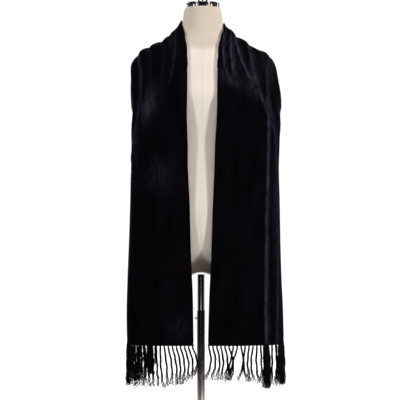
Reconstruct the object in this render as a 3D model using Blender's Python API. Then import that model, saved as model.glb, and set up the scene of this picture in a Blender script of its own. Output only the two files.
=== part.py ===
"""Black velvet scarf with a knotted fringe, laid round a limbless dress form on a stand.

Metres, +Z up. The origin is the middle of the base's underside, on the floor. The two ends of
the scarf hang on the -Y side, which is the front, and +X is the right of the front view.
"""
import math
from collections import namedtuple

import bpy
import numpy as np
from mathutils import Vector
from mathutils.bvhtree import BVHTree

LEFT, RIGHT = -1, 1
GAP = 0.0003

SCARF_WIDTH = 0.300
SCARF_WALL = 0.0022
SCARF_ON_FORM = 0.0008
NECK_STRETCH = 0.115
HEM_HEIGHT = 0.562
COLUMNS_ACROSS = 22
YOKE_LENGTH = 0.35
YOKE_STEP = 0.0185
PANEL_STEPS = 12
RIB_SAMPLES = 160

STRANDS_AN_END = 26
STRIP_HEIGHT = 0.005
STRIP_WALL = 0.0018
STRAND_WIDTH = 0.0030
STRAND_TIP = 0.0014
STRAND_LENGTH = 0.106
STRAND_STEPS = 6
STRAND_BOW = 0.007
STRAND_SWING = -0.004

FORM_BOTTOM = 0.752
FORM_TOP = 1.500
FORM_LEAN = 0.0045
FORM_SIDES = 36
PLATE_THICKNESS = 0.006
PLATE_MARGIN = 0.003

CAP_RADIUS = 0.0477
CAP_HEIGHT = 0.0145
CAP_LOBES = 8
CAP_GROOVE = 0.0045
CAP_GROOVE_SHARE = 0.18
FINIAL_ROD_RADIUS = 0.0027
FINIAL_ROD_SPACING = 0.0112
FINIAL_ROD_HEIGHT = 0.022
FINIAL_KNOB_RADIUS = 0.0175
FINIAL_KNOB_HEIGHT = 0.024

POLE_RADIUS = 0.0102
POLE_BOTTOM = 0.300
SLEEVE_RADIUS = 0.0119
SLEEVE_BORE = 0.0108
SLEEVE_TOP = 0.650
SCREW_RADIUS = 0.0035
SCREW_LENGTH = 0.005
SCREW_HEIGHT = 0.627
HUB_RADIUS = 0.040
HUB_HEIGHT = 0.034
BASE_RADIUS = 0.190
BASE_THICKNESS = 0.006
BASE_EDGE = 0.002
ROUND_SIDES = 32

FormRing = namedtuple("FormRing", "height half_width front back square steps")
FORM_RINGS = (
    FormRing(0.7520, 0.150, 0.066, 0.086, 2.2, 1),
    FormRing(0.7680, 0.163, 0.078, 0.098, 2.2, 2),
    FormRing(0.8150, 0.173, 0.101, 0.110, 2.2, 1),
    FormRing(0.8700, 0.170, 0.109, 0.110, 2.2, 1),
    FormRing(0.9300, 0.158, 0.112, 0.102, 2.2, 1),
    FormRing(0.9950, 0.141, 0.110, 0.090, 2.1, 1),
    FormRing(1.0700, 0.132, 0.106, 0.085, 2.1, 1),
    FormRing(1.1350, 0.143, 0.104, 0.090, 2.1, 1),
    FormRing(1.1900, 0.160, 0.108, 0.097, 2.2, 1),
    FormRing(1.2500, 0.177, 0.110, 0.103, 2.2, 2),
    FormRing(1.3000, 0.189, 0.099, 0.103, 2.3, 2),
    FormRing(1.3300, 0.1945, 0.093, 0.099, 2.3, 2),
    FormRing(1.3480, 0.190, 0.088, 0.094, 2.2, 2),
    FormRing(1.3620, 0.177, 0.083, 0.089, 2.2, 2),
    FormRing(1.3770, 0.155, 0.078, 0.083, 2.1, 2),
    FormRing(1.3930, 0.126, 0.072, 0.076, 2.0, 2),
    FormRing(1.4090, 0.094, 0.066, 0.069, 2.0, 2),
    FormRing(1.4230, 0.071, 0.061, 0.064, 2.0, 2),
    FormRing(1.4420, 0.0595, 0.058, 0.060, 2.0, 2),
    FormRing(1.4650, 0.0565, 0.0565, 0.058, 2.0, 1),
    FormRing(1.4960, 0.0520, 0.0540, 0.0550, 2.0, 1),
    FormRing(1.5000, 0.0500, 0.0520, 0.0530, 2.0, 0),
)

ClothRing = namedtuple("ClothRing", "height left right front back_left back_right square")
CLOTH_RINGS = (
    ClothRing(0.540, 0.204, 0.230, 0.112, 0.030, 0.040, 2.9),
    ClothRing(0.650, 0.206, 0.228, 0.115, 0.060, 0.065, 2.8),
    ClothRing(0.750, 0.204, 0.224, 0.117, 0.088, 0.090, 2.7),
    ClothRing(0.850, 0.201, 0.221, 0.119, 0.102, 0.102, 2.6),
    ClothRing(0.960, 0.1985, 0.2185, 0.120, 0.104, 0.104, 2.5),
    ClothRing(1.040, 0.1975, 0.216, 0.121, 0.104, 0.104, 2.5),
    ClothRing(1.126, 0.1965, 0.218, 0.122, 0.105, 0.105, 2.4),
    ClothRing(1.205, 0.194, 0.219, 0.122, 0.107, 0.107, 2.4),
    ClothRing(1.245, 0.195, 0.217, 0.116, 0.108, 0.108, 2.4),
    ClothRing(1.287, 0.198, 0.2135, 0.108, 0.108, 0.108, 2.4),
    ClothRing(1.314, 0.199, 0.210, 0.102, 0.106, 0.106, 2.4),
    ClothRing(1.336, 0.1985, 0.205, 0.097, 0.102, 0.102, 2.3),
    ClothRing(1.353, 0.193, 0.198, 0.092, 0.097, 0.097, 2.3),
    ClothRing(1.368, 0.178, 0.181, 0.087, 0.091, 0.091, 2.2),
    ClothRing(1.383, 0.154, 0.156, 0.081, 0.085, 0.085, 2.1),
    ClothRing(1.399, 0.124, 0.125, 0.074, 0.078, 0.078, 2.0),
    ClothRing(1.415, 0.093, 0.094, 0.067, 0.071, 0.071, 2.0),
    ClothRing(1.430, 0.071, 0.073, 0.062, 0.066, 0.066, 2.0),
    ClothRing(1.447, 0.0610, 0.0620, 0.0595, 0.0625, 0.0625, 2.0),
    ClothRing(1.480, 0.0590, 0.0600, 0.0580, 0.0605, 0.0605, 2.0),
)

Rib = namedtuple("Rib", "inner_turn inner_height outer_turn outer_height spread")
YOKE_RIBS = (
    Rib(180, 1.462, 180, 1.000, 0.84),
    Rib(150, 1.463, 157, 1.000, 0.85),
    Rib(120, 1.465, 138, 1.000, 0.86),
    Rib(92, 1.465, 126, 1.000, 0.88),
    Rib(64, 1.450, 150, 1.000, 0.90),
    Rib(38, 1.418, 176, 1.010, 0.93),
)

FrontEdge = namedtuple("FrontEdge", "height left right drop")
FRONT_EDGE = (
    FrontEdge(1.375, 0.0440, 0.0500, 0.330),
    FrontEdge(1.300, 0.0420, 0.0440, 0.270),
    FrontEdge(1.200, 0.0425, 0.0420, 0.180),
    FrontEdge(1.080, 0.0395, 0.0370, 0.100),
    FrontEdge(0.950, 0.0335, 0.0325, 0.050),
    FrontEdge(0.820, 0.0295, 0.0295, 0.020),
    FrontEdge(0.690, 0.0235, 0.0235, 0.006),
    FrontEdge(HEM_HEIGHT, 0.0215, 0.0200, 0.0),
)

Fold = namedtuple("Fold", "side start end at_start at_middle at_end height half_width")
FOLDS = (
    Fold(RIGHT, 0.06, 0.34, 0.010, 0.009, 0.030, 0.003, 0.010),
    Fold(RIGHT, 0.02, 0.36, 0.020, 0.026, 0.070, 0.005, 0.011),
    Fold(RIGHT, 0.00, 0.34, 0.052, 0.042, 0.165, 0.008, 0.012),
    Fold(RIGHT, 0.00, 0.36, 0.095, 0.090, 0.170, 0.008, 0.012),
    Fold(RIGHT, 0.04, 0.40, 0.150, 0.164, 0.172, 0.007, 0.013),
    Fold(RIGHT, 0.02, 0.40, 0.212, 0.216, 0.226, 0.003, 0.015),
    Fold(RIGHT, 0.27, 1.12, 0.156, 0.151, 0.166, 0.005, 0.011),
    Fold(RIGHT, 0.34, 1.12, 0.062, 0.078, 0.070, 0.004, 0.030),
    Fold(RIGHT, 0.48, 1.12, 0.225, 0.232, 0.226, 0.005, 0.024),
    Fold(LEFT, 0.06, 0.32, 0.022, 0.030, 0.056, 0.004, 0.011),
    Fold(LEFT, 0.00, 0.34, 0.066, 0.070, 0.092, 0.007, 0.012),
    Fold(LEFT, 0.00, 0.32, 0.112, 0.115, 0.130, 0.008, 0.013),
    Fold(LEFT, 0.02, 0.36, 0.166, 0.165, 0.156, 0.006, 0.013),
    Fold(LEFT, 0.02, 0.40, 0.216, 0.218, 0.226, 0.003, 0.015),
    Fold(LEFT, 0.24, 0.66, 0.152, 0.166, 0.196, 0.005, 0.012),
    Fold(LEFT, 0.38, 1.12, 0.094, 0.080, 0.098, 0.004, 0.032),
    Fold(LEFT, 0.50, 1.12, 0.222, 0.230, 0.224, 0.005, 0.024),
)
FOLD_FADE = 0.07
FLUTES_BEHIND = 2.5
FLUTE_DEPTH = 0.009
FLUTE_REACH = 0.36


def clear_scene():
    for old in list(bpy.data.objects):
        bpy.data.objects.remove(old, do_unlink=True)


def make_material(name, colour, roughness, metallic=0.0):
    look = bpy.data.materials.new(name)
    look.use_nodes = True
    shader = look.node_tree.nodes["Principled BSDF"]
    shader.inputs["Base Color"].default_value = (*colour, 1.0)
    shader.inputs["Roughness"].default_value = roughness
    shader.inputs["Metallic"].default_value = metallic
    return look


def add_object(name, points, faces, look, sharp_degrees=35):
    mesh = bpy.data.meshes.new(name)
    mesh.from_pydata([tuple(float(value) for value in point) for point in points], [], faces)
    mesh.materials.append(look)
    mesh.shade_smooth()
    mesh.set_sharp_from_angle(angle=math.radians(sharp_degrees))
    made = bpy.data.objects.new(name, mesh)
    bpy.context.scene.collection.objects.link(made)
    return made


def smooth_through(keys, values, at):
    """Cubic steps through the rows, with slopes that never overshoot a row."""
    keys, values = np.asarray(keys, float), np.asarray(values, float)
    width = np.diff(keys)
    rise = np.diff(values) / width
    product, total = rise[:-1] * rise[1:], rise[:-1] + rise[1:]
    slope = np.concatenate(([rise[0]], np.zeros(len(rise) - 1), [rise[-1]]))
    same_way = product > 0
    slope[1:-1][same_way] = 2.0 * product[same_way] / total[same_way]
    row = np.clip(np.searchsorted(keys, at) - 1, 0, len(width) - 1)
    part = (at - keys[row]) / width[row]
    start, end = values[row], values[row + 1]
    leave, arrive = slope[row] * width[row], slope[row + 1] * width[row]
    bend = 3.0 * (end - start) - 2.0 * leave - arrive
    return start + part * (leave + part * (bend + part * (leave + arrive - 2.0 * (end - start))))


def column(rows, field):
    return [getattr(row, field) for row in rows]


def lean(height):
    """The form stands a few millimetres out of true, more so towards its neck."""
    return FORM_LEAN * np.clip((height - FORM_BOTTOM) / (FORM_TOP - FORM_BOTTOM), 0.0, 1.0)


def section_point(half_width, front, back, square, turn):
    """Point of a rounded section: turn 0 is the front centre, 90 the side, 180 the back."""
    angle = np.radians(turn)
    across, fore = np.sin(angle), np.cos(angle)
    x = half_width * np.sign(across) * np.abs(across) ** (2.0 / square)
    y = (back - front) / 2 - (back + front) / 2 * np.sign(fore) * np.abs(fore) ** (2.0 / square)
    return x, y


def loft_faces(ring_count, per_ring):
    faces = [tuple(reversed(range(per_ring)))]
    for ring in range(ring_count - 1):
        first = ring * per_ring
        for step in range(per_ring):
            after = (step + 1) % per_ring
            faces.append((first + step, first + after, first + per_ring + after,
                          first + per_ring + step))
    last = (ring_count - 1) * per_ring
    faces.append(tuple(range(last, last + per_ring)))
    return faces


def form_heights():
    heights = []
    for row, above in zip(FORM_RINGS, FORM_RINGS[1:]):
        heights.extend(row.height + (above.height - row.height) * step / row.steps
                       for step in range(row.steps))
    return heights + [FORM_RINGS[-1].height]


def form_ring(height, margin=0.0):
    keys = column(FORM_RINGS, "height")
    sizes = [smooth_through(keys, column(FORM_RINGS, field), height)
             for field in ("half_width", "front", "back", "square")]
    half_width, front, back, square = sizes
    turns = np.arange(FORM_SIDES) * 360.0 / FORM_SIDES
    x, y = section_point(half_width - margin, front - margin, back - margin, square, turns)
    return [(float(px + lean(height)), float(py), height) for px, py in zip(x, y)]


def form_mesh():
    points = [point for height in form_heights() for point in form_ring(height)]
    return points, loft_faces(len(form_heights()), FORM_SIDES)


def turned(name, profile, look, at=(0.0, 0.0, 0.0), sides=ROUND_SIDES, lobed=None):
    """Solid turned round the upright axis from a profile of (radius, height), going up."""
    points = []
    for radius, height in profile:
        for step in range(sides):
            angle = 2.0 * math.pi * step / sides
            reach = radius if lobed is None else radius - lobed(angle)
            points.append((reach * math.cos(angle), reach * math.sin(angle), height))
    made = add_object(name, points, loft_faces(len(profile), sides), look)
    made.location = at
    return made


def make_form(looks):
    points, faces = form_mesh()
    add_object("form_torso", points, faces, looks["linen"], 60)
    top = FORM_BOTTOM - GAP
    plate = form_ring(FORM_BOTTOM, PLATE_MARGIN)
    rings = [[(x, y, height) for x, y, _ in plate] for height in (top - PLATE_THICKNESS, top)]
    add_object("form_bottom_plate", rings[0] + rings[1], loft_faces(2, FORM_SIDES), looks["plate"])
    return BVHTree.FromPolygons([Vector(point) for point in points], faces)


def make_neck_cap(looks):
    """A lobed cap closes the neck; three rods on it carry a turned knob."""
    edge = 0.002
    lobe_turn = 2.0 * math.pi / CAP_LOBES

    def groove(angle):
        from_lobe = abs((angle + math.pi / 2 + lobe_turn / 2) % lobe_turn - lobe_turn / 2)
        into = (from_lobe - lobe_turn * (0.5 - CAP_GROOVE_SHARE)) / (lobe_turn * CAP_GROOVE_SHARE)
        return CAP_GROOVE * min(max(into, 0.0), 1.0) ** 2

    axis = (float(lean(FORM_TOP)), 0.0, FORM_TOP + GAP)
    profile = ((CAP_RADIUS - edge, 0.0), (CAP_RADIUS, edge), (CAP_RADIUS, CAP_HEIGHT - edge),
               (CAP_RADIUS - edge, CAP_HEIGHT))
    turned("neck_cap", profile, looks["dark_metal"], axis, CAP_LOBES * 8, groove)

    rod_bottom = axis[2] + CAP_HEIGHT + GAP
    rod = ((FINIAL_ROD_RADIUS, 0.0), (FINIAL_ROD_RADIUS, FINIAL_ROD_HEIGHT))
    for number in range(3):
        place = (axis[0] + (number - 1) * FINIAL_ROD_SPACING, 0.0, rod_bottom)
        turned(f"finial_rod_{number + 1}", rod, looks["dark_metal"], place, 16)

    ring_steps = 7
    knob = []
    for step in range(ring_steps):
        swing = math.radians(-62 + 146 * step / (ring_steps - 1))
        knob.append((FINIAL_KNOB_RADIUS * math.cos(swing),
                     FINIAL_KNOB_HEIGHT / 2 * (1.0 + math.sin(swing))))
    start = knob[0][1]
    knob = [(radius, height - start) for radius, height in knob]
    place = (axis[0], 0.0, rod_bottom + FINIAL_ROD_HEIGHT + GAP)
    turned("finial_knob", knob, looks["dark_metal"], place)


def tube(name, outer, inner, bottom, top, look):
    """Open tube: an outer and an inner wall joined by a flat ring at each end."""
    points = []
    for radius, height in ((outer, bottom), (outer, top), (inner, top), (inner, bottom)):
        for step in range(ROUND_SIDES):
            angle = 2.0 * math.pi * step / ROUND_SIDES
            points.append((radius * math.cos(angle), radius * math.sin(angle), height))
    faces = []
    for ring in range(4):
        first, second = ring * ROUND_SIDES, (ring + 1) % 4 * ROUND_SIDES
        for step in range(ROUND_SIDES):
            after = (step + 1) % ROUND_SIDES
            faces.append((first + step, first + after, second + after, second + step))
    return add_object(name, points, faces, look)


def make_stand(looks):
    edge = BASE_EDGE
    plate = ((BASE_RADIUS - edge, 0.0), (BASE_RADIUS, edge), (BASE_RADIUS, BASE_THICKNESS - edge),
             (BASE_RADIUS - edge, BASE_THICKNESS))
    turned("base_plate", plate, looks["base"], sides=48)
    hub_bottom = BASE_THICKNESS + GAP
    neck = SLEEVE_RADIUS + 0.005
    hub = ((HUB_RADIUS, 0.0), (HUB_RADIUS, 0.005), (HUB_RADIUS * 0.72, 0.010), (neck, 0.020),
           (neck, HUB_HEIGHT))
    turned("base_hub", hub, looks["base"], (0.0, 0.0, hub_bottom))
    tube("pole_sleeve", SLEEVE_RADIUS, SLEEVE_BORE, hub_bottom + HUB_HEIGHT + GAP, SLEEVE_TOP,
         looks["steel"])
    screw = turned("height_screw", ((SCREW_RADIUS, 0.0), (SCREW_RADIUS, SCREW_LENGTH - 0.001),
                                    (SCREW_RADIUS - 0.001, SCREW_LENGTH)),
                   looks["steel"], (-SLEEVE_RADIUS - GAP, 0.0, SCREW_HEIGHT), 16)
    screw.rotation_euler = (0.0, -math.pi / 2, 0.0)
    rod_top = FORM_BOTTOM - PLATE_THICKNESS - 2 * GAP
    turned("pole_rod", ((POLE_RADIUS, 0.0), (POLE_RADIUS, rod_top - POLE_BOTTOM)),
           looks["steel"], (0.0, 0.0, POLE_BOTTOM))


def cloth_section(side, height):
    keys = column(CLOTH_RINGS, "height")
    own = ("left", "front", "back_left", "square")
    other = ("right", "front", "back_right", "square")
    return [smooth_through(keys, column(CLOTH_RINGS, field), height)
            for field in (own if side == LEFT else other)]


def cloth_point(side, turn, height):
    half_width, front, back, square = cloth_section(side, height)
    x, y = section_point(half_width, front, back, square, turn)
    return np.stack([side * x + lean(height), y, height], axis=-1)


def rib_rows(side):
    """Rows of the scarf's cross ribs, from the middle of the back to the hem in front."""
    rows = list(YOKE_RIBS)
    for edge in FRONT_EDGE:
        half_width, _, _, square = cloth_section(side, edge.height)
        inner = edge.left if side == LEFT else edge.right
        turn = math.degrees(math.asin((inner / half_width) ** (square / 2)))
        spread = 1.0 if edge.height < 1.28 else 0.96
        rows.append(Rib(turn, edge.height, 180, edge.height - edge.drop, spread))
    return rows


def scarf_ribs(side, alongs, acrosses):
    """Points of the scarf's mid surface: a rib for each length along, trimmed to its width."""
    rows = rib_rows(side)
    turns, heights = column(rows, "inner_turn"), column(rows, "inner_height")
    edge = cloth_point(side, np.array(turns, float), np.array(heights, float))
    keys = np.concatenate(([0.0], np.cumsum(np.linalg.norm(np.diff(edge, axis=0), axis=1))))
    reach = np.linspace(0.0, 1.0, RIB_SAMPLES)
    ribs = []
    for along in alongs:
        place = along / scarf_reach(side) * keys[-1]
        row = [float(smooth_through(keys, column(rows, field), place)) for field in Rib._fields]
        rib = Rib(*row)
        turn = rib.inner_turn + (rib.outer_turn - rib.inner_turn) * reach
        height = rib.inner_height + (rib.outer_height - rib.inner_height) * reach
        path = cloth_point(side, turn, height)
        walked = np.concatenate(([0.0], np.cumsum(np.linalg.norm(np.diff(path, axis=0), axis=1))))
        wanted = np.asarray(acrosses) * rib.spread
        ribs.append([[np.interp(mark, walked, path[:, axis]) for axis in range(3)]
                     for mark in wanted])
    return np.array(ribs)


def scarf_reach(side):
    """Length of the inner edge from the middle of the back to the hem."""
    rows = rib_rows(side)
    edge = cloth_point(side, np.array(column(rows, "inner_turn"), float),
                       np.array(column(rows, "inner_height"), float))
    return float(np.linalg.norm(np.diff(edge, axis=0), axis=1).sum())


def eased(share):
    share = min(max(share, 0.0), 1.0)
    return share * share * (3.0 - 2.0 * share)


def fold_rise(side, along, across):
    """How far the cloth stands out from its plain drape: lengthwise folds, and flutes behind."""
    rise = 0.0
    for fold in FOLDS:
        if fold.side != side or not fold.start < along < fold.end:
            continue
        run = (along - fold.start) / (fold.end - fold.start)
        crest = (fold.at_start * (1.0 - run) * (1.0 - 2.0 * run)
                 + fold.at_middle * 4.0 * run * (1.0 - run) + fold.at_end * run * (2.0 * run - 1.0))
        fade = eased((along - fold.start) / FOLD_FADE) * eased((fold.end - along) / FOLD_FADE)
        aside = (across - crest) / fold.half_width
        rise += fold.height * fade * math.exp(-aside * aside)
    if along < FLUTE_REACH:
        low = (across / SCARF_WIDTH) ** 2
        fade = math.sin(math.pi * along / FLUTE_REACH)
        wave = 0.5 + 0.5 * math.sin(2.0 * math.pi * FLUTES_BEHIND * along / FLUTE_REACH)
        rise += FLUTE_DEPTH * low * fade * wave
    return rise


def grid_normals(grid):
    """Outward normals of a grid whose rows run right to left and columns inner to outer."""
    along, across = np.gradient(grid, axis=0), np.gradient(grid, axis=1)
    normals = np.cross(across, along)
    return normals / np.linalg.norm(normals, axis=2, keepdims=True)


def station_marks(side):
    """Lengths along the scarf from its middle: close at the yoke, wider down the panels."""
    yoke = np.arange(0.0, YOKE_LENGTH, YOKE_STEP)
    panel = np.linspace(yoke[-1], scarf_reach(side), PANEL_STEPS + 1)[1:]
    return np.concatenate((yoke, panel))


def lift(form_tree, place, clear):
    """The move that takes a place to its least distance from the form, or none."""
    point = Vector(place)
    foot, out, _, _ = form_tree.find_nearest(point)
    short = clear - (point - foot).dot(out)
    return np.array(foot + out * clear - point) if short > 0.0 else np.zeros(3)


def rest_on_form(grid, form_tree):
    """Lifts the cloth where its drape would sink into the form, so that it lies on it."""
    at_corners = SCARF_WALL / 2 + SCARF_ON_FORM
    between = at_corners - SCARF_ON_FORM / 4
    rows, cells = grid.shape[:2]
    for row in range(rows):
        for cell in range(cells):
            grid[row, cell] += lift(form_tree, grid[row, cell], at_corners)
    lines = (((0, 0), (1, 1)), ((0, 1), (1, 0)), ((0, 0), (0, 1)), ((0, 0), (1, 0)))
    for row in range(rows - 1):
        for cell in range(cells - 1):
            corners = grid[row:row + 2, cell:cell + 2]
            for first, second in lines:
                corners += lift(form_tree, (corners[first] + corners[second]) / 2, between)


def scarf_surface(form_tree):
    acrosses = np.linspace(0.0, SCARF_WIDTH, COLUMNS_ACROSS + 1)
    right = station_marks(RIGHT)
    left = station_marks(LEFT)[1:][::-1]
    marks = [(LEFT, along) for along in left] + [(RIGHT, along) for along in right]
    grid = np.concatenate((scarf_ribs(LEFT, left, acrosses), scarf_ribs(RIGHT, right, acrosses)))
    normals = grid_normals(grid)
    for row, (side, along) in enumerate(marks):
        for cell, across in enumerate(acrosses):
            grid[row, cell] += normals[row, cell] * fold_rise(side, along, across)
    rest_on_form(grid, form_tree)
    signed = np.array([side * along for side, along in marks])
    return grid, grid_normals(grid), signed


def cloth_shell(name, grid, normals, look, open_start, open_end):
    """Closed wall round a stretch of the scarf; its cut ends stand back from the next stretch."""
    grid = grid.copy()
    for row, inward, cut in ((0, 1, open_start), (-1, -2, open_end)):
        if cut:
            run = grid[inward] - grid[row]
            grid[row] += run / np.linalg.norm(run, axis=1, keepdims=True) * GAP / 2
    outer, inner = grid + normals * SCARF_WALL / 2, grid - normals * SCARF_WALL / 2
    rows, cells = grid.shape[:2]
    points = [*outer.reshape(-1, 3), *inner.reshape(-1, 3)]
    back = rows * cells

    def at(row, cell):
        return row * cells + cell

    faces = []
    for row in range(rows - 1):
        for cell in range(cells - 1):
            quad = (at(row, cell), at(row, cell + 1), at(row + 1, cell + 1), at(row + 1, cell))
            faces.append(quad)
            faces.append(tuple(corner + back for corner in reversed(quad)))
    rim = [at(0, cell) for cell in range(cells)]
    rim += [at(row, cells - 1) for row in range(1, rows)]
    rim += [at(rows - 1, cell) for cell in range(cells - 2, -1, -1)]
    rim += [at(row, 0) for row in range(rows - 2, 0, -1)]
    for here, after in zip(rim, rim[1:] + rim[:1]):
        faces.append((after, here, here + back, after + back))
    return add_object(name, points, faces, look, 60)


def hem_frame(hem, normals, acrosses, across):
    """Place and outward direction on the hem, at a distance across the scarf."""
    place = np.array([np.interp(across, acrosses, hem[:, axis]) for axis in range(3)])
    out = np.array([np.interp(across, acrosses, normals[:, axis]) for axis in range(3)])
    out[2] = 0.0
    return place, out / np.linalg.norm(out)


def make_fringe(name, side, hem, normals, look):
    """A narrow strip under the hem, with the roots of the fringe's strands fused into it."""
    acrosses = np.linspace(0.0, SCARF_WIDTH, len(hem))
    pitch = SCARF_WIDTH / STRANDS_AN_END
    half = STRAND_WIDTH / 2
    marks = [0.0]
    for strand in range(STRANDS_AN_END):
        centre = (strand + 0.5) * pitch
        marks += [centre - half, centre + half]
    marks.append(SCARF_WIDTH)
    points, faces = [], []
    down = np.array((0.0, 0.0, -1.0))
    for mark in marks:
        place, out = hem_frame(hem, normals, acrosses, mark)
        top = place + down * GAP * 2
        low = top + down * STRIP_HEIGHT
        outward = out * STRIP_WALL / 2
        points += [top + outward, top - outward, low - outward, low + outward]
    for step in range(len(marks) - 1):
        first, second = 4 * step, 4 * (step + 1)
        is_root = step % 2 == 1
        for edge in range(4):
            after = (edge + 1) % 4
            if is_root and edge == 2:
                continue
            faces.append((first + edge, second + edge, second + after, first + after))
        if is_root:
            add_strand(points, faces, (first + 2, second + 2, second + 3, first + 3), step // 2)
    last = 4 * (len(marks) - 1)
    faces.append((0, 1, 2, 3))
    faces.append((last + 3, last + 2, last + 1, last))
    if side == RIGHT:
        faces = [tuple(reversed(face)) for face in faces]
    return add_object(name, points, faces, look, 50)


def add_strand(points, faces, root, number):
    """One strand: a square yarn that leaves its root cell, bows aside and swings back."""
    corners = [np.array(points[index]) for index in root]
    centre = sum(corners) / 4
    spokes = [corner - centre for corner in corners]
    wander = math.sin(2.4 * number + 0.7)
    length = STRAND_LENGTH * (0.97 + 0.03 * math.sin(1.7 * number))
    before = root
    for step in range(1, STRAND_STEPS + 1):
        share = step / STRAND_STEPS
        aside = STRAND_BOW * math.sin(math.pi * share) + STRAND_SWING * share ** 2
        aside += 0.0018 * wander * share
        fore = 0.0015 * math.sin(3.1 * number + 2.0) * share
        middle = centre + np.array((aside, fore, -length * share))
        size = 1.0 + (STRAND_TIP / STRAND_WIDTH - 1.0) * max(0.0, share - 0.6) / 0.4
        ring = tuple(range(len(points), len(points) + 4))
        points += [middle + spoke * size for spoke in spokes]
        for edge in range(4):
            after = (edge + 1) % 4
            faces.append((before[edge], before[after], ring[after], ring[edge]))
        before = ring
    faces.append(before)


def make_scarf(looks, form_tree):
    grid, normals, signed = scarf_surface(form_tree)
    left_cut = int(np.argmin(np.abs(signed + NECK_STRETCH)))
    right_cut = int(np.argmin(np.abs(signed - NECK_STRETCH)))
    velvet = looks["velvet"]
    stretches = (("scarf_left_end", 0, left_cut, False, True),
                 ("scarf_neck_stretch", left_cut, right_cut, True, True),
                 ("scarf_right_end", right_cut, len(signed) - 1, True, False))
    for name, first, last, open_start, open_end in stretches:
        rows = slice(first, last + 1)
        cloth_shell(name, grid[rows], normals[rows], velvet, open_start, open_end)
    make_fringe("fringe_left", LEFT, grid[0], normals[0], looks["yarn"])
    make_fringe("fringe_right", RIGHT, grid[-1], normals[-1], looks["yarn"])


def main():
    clear_scene()
    looks = {
        "velvet": make_material("velvet", (0.0045, 0.0036, 0.0062), 0.85),
        "yarn": make_material("fringe_yarn", (0.0065, 0.0055, 0.0075), 0.60),
        "linen": make_material("linen", (0.78, 0.72, 0.64), 0.90),
        "plate": make_material("bottom_plate", (0.80, 0.78, 0.74), 0.50),
        "dark_metal": make_material("dark_metal", (0.10, 0.09, 0.09), 0.22, 1.0),
        "steel": make_material("polished_steel", (0.42, 0.41, 0.41), 0.25, 1.0),
        "base": make_material("base_metal", (0.30, 0.30, 0.30), 0.35, 1.0),
    }
    form_tree = make_form(looks)
    make_neck_cap(looks)
    make_stand(looks)
    make_scarf(looks, form_tree)


main()
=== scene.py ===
import math
from collections import namedtuple

import bpy
import numpy as np
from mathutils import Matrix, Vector
from mathutils.bvhtree import BVHTree


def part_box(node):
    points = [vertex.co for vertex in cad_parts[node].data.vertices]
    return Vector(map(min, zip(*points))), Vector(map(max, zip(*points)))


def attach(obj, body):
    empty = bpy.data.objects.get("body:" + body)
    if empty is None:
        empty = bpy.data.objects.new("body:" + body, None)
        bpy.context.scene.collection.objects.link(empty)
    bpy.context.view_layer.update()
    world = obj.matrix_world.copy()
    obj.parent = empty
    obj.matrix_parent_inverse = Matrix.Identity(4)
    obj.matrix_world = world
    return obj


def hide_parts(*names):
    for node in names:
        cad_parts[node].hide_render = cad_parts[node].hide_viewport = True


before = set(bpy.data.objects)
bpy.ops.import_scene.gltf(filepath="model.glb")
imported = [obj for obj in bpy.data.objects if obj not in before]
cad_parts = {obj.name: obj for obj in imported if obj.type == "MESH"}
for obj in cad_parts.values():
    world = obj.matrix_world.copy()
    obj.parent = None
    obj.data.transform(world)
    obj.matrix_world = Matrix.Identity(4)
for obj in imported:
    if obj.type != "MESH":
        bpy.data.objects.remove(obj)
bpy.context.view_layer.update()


# Base of the stand
# A round steel plate with a turned hub screwed to its middle, both plated and satin brushed.
# The plate lies on the floor and the hub holds the pole's lower tube upright.

class Shade:
    """One socket in a node tree, so that shader maths is written as plain expressions."""

    def __init__(self, tree, socket):
        self.tree, self.socket = tree, socket

    def maths(self, operation, *values):
        return Nodes(self.tree).add("ShaderNodeMath", {"operation": operation},
                                    dict(enumerate(values)))

    def __add__(self, other):
        return self.maths("ADD", self, other)

    def __radd__(self, other):
        return self.maths("ADD", other, self)

    def __sub__(self, other):
        return self.maths("SUBTRACT", self, other)

    def __rsub__(self, other):
        return self.maths("SUBTRACT", other, self)

    def __mul__(self, other):
        return self.maths("MULTIPLY", self, other)

    def __rmul__(self, other):
        return self.maths("MULTIPLY", other, self)

    def __truediv__(self, other):
        return self.maths("DIVIDE", self, other)

    def __abs__(self):
        return self.maths("ABSOLUTE", self)

    def within(self, reach):
        """1 where the value is 0, falling to 0 where it is the reach away from 0."""
        return (1.0 - abs(self) / reach).larger(0.0)

    def larger(self, other):
        return self.maths("MAXIMUM", self, other)

    def kept(self, low, high):
        return self.maths("MINIMUM", self.larger(low), high)

    def power(self, exponent):
        return self.maths("POWER", self, exponent)

    def sine(self):
        return self.maths("SINE", self)

    def root(self):
        return self.maths("SQRT", self)


class Nodes:
    """A node tree, with the one method that adds a node of any type."""

    def __init__(self, tree):
        self.tree = tree

    def feed(self, entry, value):
        if isinstance(value, Shade):
            self.tree.links.new(value.socket, entry)
        else:
            entry.default_value = value

    def add(self, kind, settings, values, output=0):
        node = self.tree.nodes.new(kind)
        for name, value in settings.items():
            setattr(node, name, value)
        for name, value in values.items():
            self.feed(node.inputs[name], value)
        return Shade(self.tree, node.outputs[output])


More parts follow.
